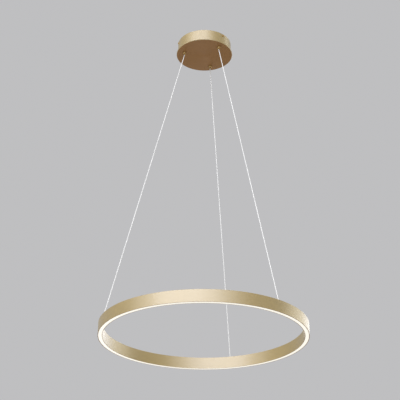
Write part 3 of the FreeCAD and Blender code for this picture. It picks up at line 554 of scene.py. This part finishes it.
def worked(piece, tools, operation):
    """Cut tools out of a piece (DIFFERENCE) or add them to it (UNION), and drop the tools."""
    tool = joined("tools", tools)
    modifier = piece.modifiers.new("work", "BOOLEAN")
    modifier.operation = operation
    modifier.solver = "EXACT"
    modifier.object = tool
    bpy.context.view_layer.update()
    graph = bpy.context.evaluated_depsgraph_get()
    mesh = bpy.data.meshes.new_from_object(piece.evaluated_get(graph))
    piece.modifiers.clear()
    piece.data = mesh
    piece.data.shade_smooth()
    bpy.data.objects.remove(tool, do_unlink=True)


def aim_out(piece, azimuth, radius, level):
    """Lay a piece's own +Z along an azimuth, with its origin at a radius and a level."""
    outward = Vector((*polar(1.0, azimuth), 0.0))
    turn = outward.to_track_quat("Z", "Y").to_matrix().to_4x4()
    piece.data.transform(Matrix.Translation(outward * radius + Vector((0, 0, level))) @ turn)


# ---------------------------------------------------------------- tubes

def route(points, azimuth):
    """A route's (distance, height) points as places in the plane of one cable."""
    return [Vector((*polar(distance * MM, azimuth), height * MM)) for distance, height in points]


def smooth_line(points, steps):
    """The points of the smooth line that a route's points control."""
    data = bpy.data.curves.new("route", "CURVE")
    data.dimensions = "3D"
    data.resolution_u = steps
    spline = data.splines.new("NURBS")
    spline.points.add(len(points) - 1)
    for point, place in zip(spline.points, points):
        point.co = (*place, 1.0)
    spline.order_u = 3
    spline.use_endpoint_u = True
    carrier = bpy.data.objects.new("route", data)
    mesh = bpy.data.meshes.new_from_object(carrier)
    line = [vertex.co.copy() for vertex in mesh.vertices]
    bpy.data.objects.remove(carrier)
    bpy.data.curves.remove(data)
    bpy.data.meshes.remove(mesh)
    return line


def tube(name, line, radius, sides, twist):
    """A closed tube along a line. Its UV map runs once round, and once along for each twist."""
    mesh = bmesh.new()
    layer = mesh.loops.layers.uv.new("UVMap")
    count = len(line)
    along = (line[1] - line[0]).normalized()
    across = along.orthogonal().normalized()
    turns = [FULL_TURN * side / sides for side in range(sides)]
    rings = []
    travelled = [0.0]
    for index, middle in enumerate(line):
        along = (line[min(index + 1, count - 1)] - line[max(index - 1, 0)]).normalized()
        across = (across - along * across.dot(along)).normalized()
        beside = along.cross(across)
        outward = [across * math.cos(turn) + beside * math.sin(turn) for turn in turns]
        rings.append([mesh.verts.new(middle + direction * radius) for direction in outward])
        if index:
            travelled.append(travelled[-1] + (middle - line[index - 1]).length)
    for index in range(count - 1):
        for side in range(sides):
            after = (side + 1) % sides
            face = mesh.faces.new((rings[index][side], rings[index + 1][side],
                                   rings[index + 1][after], rings[index][after]))
            places = [(side, index), (side, index + 1), (side + 1, index + 1), (side + 1, index)]
            for loop, (column, row) in zip(face.loops, places):
                loop[layer].uv = (column / sides, travelled[row] / twist)
    mesh.faces.new(rings[0])
    mesh.faces.new(rings[-1][::-1])
    bmesh.ops.recalc_face_normals(mesh, faces=mesh.faces)
    return as_object(name, mesh)


# ---------------------------------------------------------------- cables


def cable(index):
    """One taut suspension cable, from its gripper's nozzle down to the ring."""
    line = smooth_line(route(CABLE_ROUTE, AZIMUTHS[index]), CABLE_STEPS)
    piece = tube("suspension_cable_%d" % (index + 1), line, CABLE_RADIUS, CABLE_SIDES, CABLE_TWIST)
    dress(piece, "cable_jacket", "root", "cable_%d" % (index + 1))
    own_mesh(piece)


def cable_tail(index):
    """The cable's end inside the canopy: up through the gripper and over to the output block."""
    line = smooth_line(route(TAIL_ROUTE, AZIMUTHS[index]), TAIL_STEPS)
    piece = tube("inner_cable_%d" % (index + 1), line, CABLE_RADIUS, CABLE_SIDES, CABLE_TWIST)
    dress(piece, "cable_jacket", "root", "cable_tail_%d" % (index + 1))


# ---------------------------------------------------------------- ring

def ring_outlines():
    """The profile's section, open below for the diffuser, and the closed chamber above it."""
    rib_low = RING_BOTTOM + RIB_LEVEL
    rib_high = rib_low + RIB_HEIGHT
    shelf_low = RING_BOTTOM + SHELF_LEVEL
    outer = [(RING_INSIDE, RING_BOTTOM), (CHAMBER_INSIDE, RING_BOTTOM),
             (CHAMBER_INSIDE, rib_low), (CHAMBER_INSIDE + RIB_DEPTH, rib_low),
             (CHAMBER_INSIDE + RIB_DEPTH, rib_high), (CHAMBER_INSIDE, rib_high),
             (CHAMBER_INSIDE, shelf_low), (CHAMBER_OUTSIDE, shelf_low),
             (CHAMBER_OUTSIDE, rib_high), (CHAMBER_OUTSIDE - RIB_DEPTH, rib_high),
             (CHAMBER_OUTSIDE - RIB_DEPTH, rib_low), (CHAMBER_OUTSIDE, rib_low),
             (CHAMBER_OUTSIDE, RING_BOTTOM), (RING_RADIUS, RING_BOTTOM),
             (RING_RADIUS, RING_TOP), (RING_INSIDE, RING_TOP)]
    chamber = [(CHAMBER_INSIDE, shelf_low + SHELF), (CHAMBER_OUTSIDE, shelf_low + SHELF),
               (CHAMBER_OUTSIDE, RING_TOP - WEB), (CHAMBER_INSIDE, RING_TOP - WEB)]
    return outer, chamber


def ring_tools():
    """The holes in the top web, for the cables' bushings and the set screws, and the one seam."""
    low, high = RING_TOP - 1.5 * WEB, RING_TOP + WEB
    tools = [peg(*polar(BUSHING_PLACE, azimuth), low, high, BUSHING_HOLE) for azimuth in AZIMUTHS]
    screw_azimuths = [azimuth + ANCHOR_SCREW_ANGLE for azimuth in AZIMUTHS]
    screw_azimuths += [SEAM_AZIMUTH + angle for angle in JOINER_SCREW_ANGLES]
    tools += [peg(*polar(CHAMBER_MIDDLE, azimuth), low, high, GRUB_HOLE)
              for azimuth in screw_azimuths]
    slit = bmesh.new()
    size = Matrix.Diagonal((SEAM_GAP, 2 * RING_WIDTH, 2 * RING_HEIGHT, 1.0))
    middle = Vector((*polar(CHAMBER_MIDDLE, SEAM_AZIMUTH), (RING_TOP + RING_BOTTOM) / 2))
    place = Matrix.Translation(middle) @ Matrix.Rotation(-SEAM_AZIMUTH, 4, "Z")
    bmesh.ops.create_cube(slit, size=1.0, matrix=place @ size)
    return tools + [as_object("slit", slit)]


def ring():
    """The ring's profile, and the diffuser that is snapped into it."""
    outer, chamber = ring_outlines()
    profile = lathe("ring_shell", [outer, chamber[::-1]], RING_SEGMENTS, RING_EDGE)
    worked(profile, ring_tools(), "DIFFERENCE")
    keep_flats(profile)
    dress(profile, "champagne_aluminium", "ring", "ring_profile")
    paint_shade_and_light_by_side(profile, RING_BOTTOM)

    skin_top = RING_BOTTOM + DIFFUSER_SKIN
    leg_top = RING_BOTTOM + RIB_LEVEL + RIB_HEIGHT + DIFFUSER_GAP + LEG_ABOVE_RIB
    outside = CHAMBER_OUTSIDE - DIFFUSER_GAP
    inside = CHAMBER_INSIDE + DIFFUSER_GAP
    leg_out = outside - RIB_DEPTH
    leg_in = inside + RIB_DEPTH
    diffuser = lathe("diffuser_skin", [[
        (inside, RING_BOTTOM), (outside, RING_BOTTOM), (outside, skin_top),
        (leg_out, skin_top), (leg_out, leg_top), (leg_out - DIFFUSER_LEG, leg_top),
        (leg_out - DIFFUSER_LEG, skin_top), (leg_in + DIFFUSER_LEG, skin_top),
        (leg_in + DIFFUSER_LEG, leg_top), (leg_in, leg_top), (leg_in, skin_top),
        (inside, skin_top)]], RING_SEGMENTS, DIFFUSER_EDGE)
    keep_flats(diffuser)
    dress(diffuser, "opal_diffuser", "ring", "ring_diffuser")


# ---------------------------------------------------------------- canopy

def canopy():
    """The bottom plate with its weld studs, and the side wall with its inner flange."""
    flange_inside = WALL_RADIUS - WALL_THICKNESS - FLANGE_WIDTH
    flange_studs = [polar(flange_inside + FLANGE_WIDTH / 2, azimuth + HALFWAY)
                    for azimuth in AZIMUTHS]
    driver_azimuth = AZIMUTHS[0] + QUARTER_TURN
    driver_studs = [polar(DRIVER_STUD_PLACE, driver_azimuth + turn) for turn in (0, HALF_TURN)]

    plate = lathe("canopy_base", [[
        (0.0, CANOPY_BOTTOM), (PLATE_RADIUS - PLATE_BEVEL, CANOPY_BOTTOM),
        (PLATE_RADIUS, CANOPY_BOTTOM + PLATE_BEVEL), (PLATE_RADIUS, PLATE_TOP),
        (0.0, PLATE_TOP)]], CANOPY_SEGMENTS, PLATE_EDGE)
    root = PLATE_TOP - STUD_ROOT
    flange_top = PLATE_TOP + FLANGE_THICKNESS
    studs = [peg(x, y, root, flange_top + STUD_ABOVE_SEAT, STUD_RADIUS) for x, y in flange_studs]
    studs += [peg(x, y, root, PLATE_TOP + LUG_THICKNESS + STUD_ABOVE_SEAT, STUD_RADIUS)
              for x, y in driver_studs]
    worked(plate, studs, "UNION")
    low, high = CANOPY_BOTTOM - OVERSHOOT, PLATE_TOP + OVERSHOOT
    worked(plate, [peg(*polar(GRIPPER_PLACE, azimuth), low, high, SHANK_HOLE, SCREW_SEGMENTS)
                   for azimuth in AZIMUTHS], "DIFFERENCE")
    keep_flats(plate)
    dress(plate, "champagne_aluminium", "root", "canopy_plate")
    paint_shade_and_light_by_side(plate, CANOPY_BOTTOM)

    inside = WALL_RADIUS - WALL_THICKNESS
    wall = lathe("canopy_shell", [[
        (flange_inside, PLATE_TOP), (WALL_RADIUS, PLATE_TOP), (WALL_RADIUS, 0.0), (inside, 0.0),
        (inside, flange_top), (flange_inside, flange_top)]], CANOPY_SEGMENTS, WALL_EDGE)
    low, high = PLATE_TOP - OVERSHOOT, flange_top + OVERSHOOT
    holes = [peg(x, y, low, high, STUD_RADIUS + STUD_CLEARANCE) for x, y in flange_studs]
    for azimuth in AZIMUTHS:
        hole = peg(0, 0, -2 * WALL_THICKNESS, OVERSHOOT, SIDE_SCREW_RADIUS + SIDE_SCREW_CLEARANCE)
        aim_out(hole, azimuth, WALL_RADIUS, SIDE_SCREW_LEVEL)
        holes.append(hole)
    worked(wall, holes, "DIFFERENCE")
    keep_flats(wall)
    dress(wall, "champagne_aluminium", "root", "canopy_wall")
    paint_shade_and_light_by_side(wall, CANOPY_BOTTOM)


def side_screws():
    """Three button heads with hexagon sockets, in the wall's side near the ceiling."""
    screws = []
    for azimuth in AZIMUTHS:
        screw = lathe("screw", [[
            (0.0, -SIDE_SCREW_LENGTH), (SIDE_SCREW_RADIUS, -SIDE_SCREW_LENGTH),
            (SIDE_SCREW_RADIUS, 0.0), (SIDE_HEAD_RADIUS, 0.0),
            (SIDE_HEAD_RADIUS, SIDE_HEAD_HEIGHT - SIDE_HEAD_BEVEL),
            (SIDE_HEAD_RADIUS - SIDE_HEAD_BEVEL, SIDE_HEAD_HEIGHT), (0.0, SIDE_HEAD_HEIGHT)]],
            SCREW_SEGMENTS, SCREW_EDGE)
        socket = peg(0, 0, SIDE_HEAD_HEIGHT - SIDE_SOCKET_DEPTH, SIDE_HEAD_HEIGHT + OVERSHOOT,
                     SIDE_SOCKET_RADIUS, segments=6)
        worked(screw, [socket], "DIFFERENCE")
        aim_out(screw, azimuth, WALL_RADIUS, SIDE_SCREW_LEVEL)
        screws.append(screw)
    heads = joined("canopy_side_screws", screws)
    keep_flats(heads)
    dress(heads, "gripper_brass", "root", "canopy_screws")


# ---------------------------------------------------------------- grippers

def thread():
    """The outline of the shank's thread, from the plate's nut up to the cap."""
    points = []
    height = THREAD_START
    while height + THREAD_PITCH < SHANK_TOP:
        points += [(SHANK_RADIUS, height), (SHANK_RADIUS - THREAD_DEPTH, height + THREAD_PITCH / 2)]
        height += THREAD_PITCH
    return points + [(SHANK_RADIUS, height), (SHANK_RADIUS, SHANK_TOP)]


def gripper(index):
    """A cable gripper: its collar and shank, the sprung nozzle that frees the cable, its spring."""
    number = index + 1
    centre = polar(GRIPPER_PLACE, AZIMUTHS[index])
    outline = COLLAR + [(SHANK_RADIUS, COLLAR[-1][1])] + thread() + GRIPPER_CAVITY
    body = lathe("gripper_shell_%d" % number, [[(r * MM, z * MM) for r, z in outline]],
                 GRIPPER_SEGMENTS, GRIPPER_EDGE, centre)
    keep_flats(body)
    dress(body, "gripper_brass", "root", "gripper_body_%d" % number)

    nozzle = lathe("gripper_nozzle_%d" % number, [[(r * MM, z * MM) for r, z in NOZZLE]],
                   GRIPPER_SEGMENTS, NOZZLE_EDGE, centre)
    keep_flats(nozzle)
    dress(nozzle, "gripper_brass", "nozzle_%d" % number, "gripper_plunger_%d" % number)

    steps = SPRING_TURN_STEPS * SPRING_TURNS
    helix = []
    for step in range(steps + 1):
        turn = FULL_TURN * SPRING_TURNS * step / steps
        height = SPRING_LOW + (SPRING_HIGH - SPRING_LOW) * step / steps
        helix.append(Vector((centre[0] + SPRING_RADIUS * math.cos(turn),
                             centre[1] + SPRING_RADIUS * math.sin(turn), height)))
    spring = tube("release_spring_%d" % number, helix, SPRING_WIRE, SPRING_SIDES, SPRING_RADIUS)
    dress(spring, "spring_steel", "root", "gripper_spring_%d" % number)
    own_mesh(spring)


# ---------------------------------------------------------------- carried-over CAD nodes

def finish_nodes():
    """Every CAD node that still shows takes the finish of its slot in the record."""
    slots = {part["node"]: part["material_slot"] for part in frame["record"]["subparts"]}
    for name, node in frame["nodes"].items():
        if node.hide_render:
            continue
        material = MATERIALS.get(slots[name])
        for place in node.material_slots:
            place.link = "OBJECT"
            place.material = material


# ---------------------------------------------------------------- studio

def softbox(name, azimuth, elevation, span, rise, power, colour):
    """A far softbox aimed at the lamp. Azimuth 0 is the camera's side, and + is to its right."""
    turn, tilt = math.radians(azimuth), math.radians(elevation)
    away = Vector((math.sin(turn) * math.cos(tilt), -math.cos(turn) * math.cos(tilt),
                   math.sin(tilt)))
    data = bpy.data.lights.new(name, "AREA")
    data.shape = "RECTANGLE"
    data.size = 2 * LAMP_DISTANCE * math.tan(math.radians(span) / 2)
    data.size_y = 2 * LAMP_DISTANCE * math.tan(math.radians(rise) / 2)
    data.energy = power
    data.color = colour
    lamp = bpy.data.objects.new(name, data)
    lamp.location = Vector(LAMP_AIM) + away * LAMP_DISTANCE
    lamp.rotation_euler = (-away).to_track_quat("-Z", "Y").to_euler()
    lamp.visible_camera = False
    scene.collection.objects.link(lamp)


def direct_rays(tree):
    """A socket that is 1 for camera, glossy and transmission rays, and 0 for the other ones."""
    rays = tree.nodes.new("ShaderNodeLightPath")
    direct = rays.outputs["Is Camera Ray"]
    for kind in ("Is Glossy Ray", "Is Transmission Ray"):
        larger = tree.nodes.new("ShaderNodeMath")
        larger.operation = "MAXIMUM"
        tree.links.new(direct, larger.inputs[0])
        tree.links.new(rays.outputs[kind], larger.inputs[1])
        direct = larger.outputs[0]
    return direct


def world():
    """A plain pale room: one colour for direct and mirrored views of it, another as fill light."""
    room = bpy.data.worlds.new("studio")
    scene.world = room
    room.use_nodes = True
    tree = room.node_tree
    seen = tree.nodes["Background"]
    seen.inputs["Color"].default_value = (*BACKDROP, 1)
    fill = tree.nodes.new("ShaderNodeBackground")
    fill.inputs["Color"].default_value = (*FILL, 1)
    blend = tree.nodes.new("ShaderNodeMixShader")
    tree.links.new(direct_rays(tree), blend.inputs[0])
    tree.links.new(fill.outputs[0], blend.inputs[1])
    tree.links.new(seen.outputs[0], blend.inputs[2])
    tree.links.new(blend.outputs[0], tree.nodes["World Output"].inputs["Surface"])


def studio():
    """The room, a round pale floor that blends into it, and the softboxes."""
    world()
    mesh = bmesh.new()
    bmesh.ops.create_circle(mesh, cap_ends=True, segments=FLOOR_SEGMENTS, radius=FLOOR_RADIUS)
    floor = as_object("floor", mesh)
    floor.location = (0, 0, FLOOR_LEVEL)
    pale = Shader("floor_pale", Roughness=0.9)
    pale.colour(pale.ramp(pale.noise(pale.where, 2.0), FLOOR_PALE))
    glow = pale.math("MULTIPLY", direct_rays(pale.tree), FLOOR_GLOW)
    pale.feed(pale.surface.inputs["Emission Color"], (*BACKDROP, 1))
    pale.feed(pale.surface.inputs["Emission Strength"], glow)
    floor.data.materials.append(pale.material)
    for lamp in LAMPS:
        softbox(*lamp)


# ---------------------------------------------------------------- camera

def camera():
    """The photo's own view: below the ring and looking up at it."""
    yaw = math.radians(CAMERA_YAW)
    pitch = math.radians(CAMERA_PITCH)
    roll = math.radians(CAMERA_ROLL)
    level = Vector((math.cos(yaw), -math.sin(yaw), 0))
    ahead = Vector((math.sin(yaw), math.cos(yaw), 0))
    forward = ahead * math.cos(pitch) + Vector((0, 0, math.sin(pitch)))
    upright = level.cross(forward)
    right = level * math.cos(roll) + upright * math.sin(roll)
    up = upright * math.cos(roll) - level * math.sin(roll)
    data = bpy.data.cameras.new("camera")
    data.sensor_width = CAMERA_SENSOR
    data.lens = CAMERA_LENS
    made = bpy.data.objects.new("camera", data)
    turn = Matrix((right, up, -forward)).transposed().to_4x4()
    made.matrix_world = Matrix.Translation(CAMERA_PLACE) @ turn
    scene.collection.objects.link(made)
    scene.camera = made


camera()
for number in range(CABLES):
    cable(number)
for number in range(CABLES):
    cable_tail(number)
    gripper(number)
ring()
canopy()
side_screws()
finish_nodes()
studio()

scene.view_settings.view_transform = "Standard"
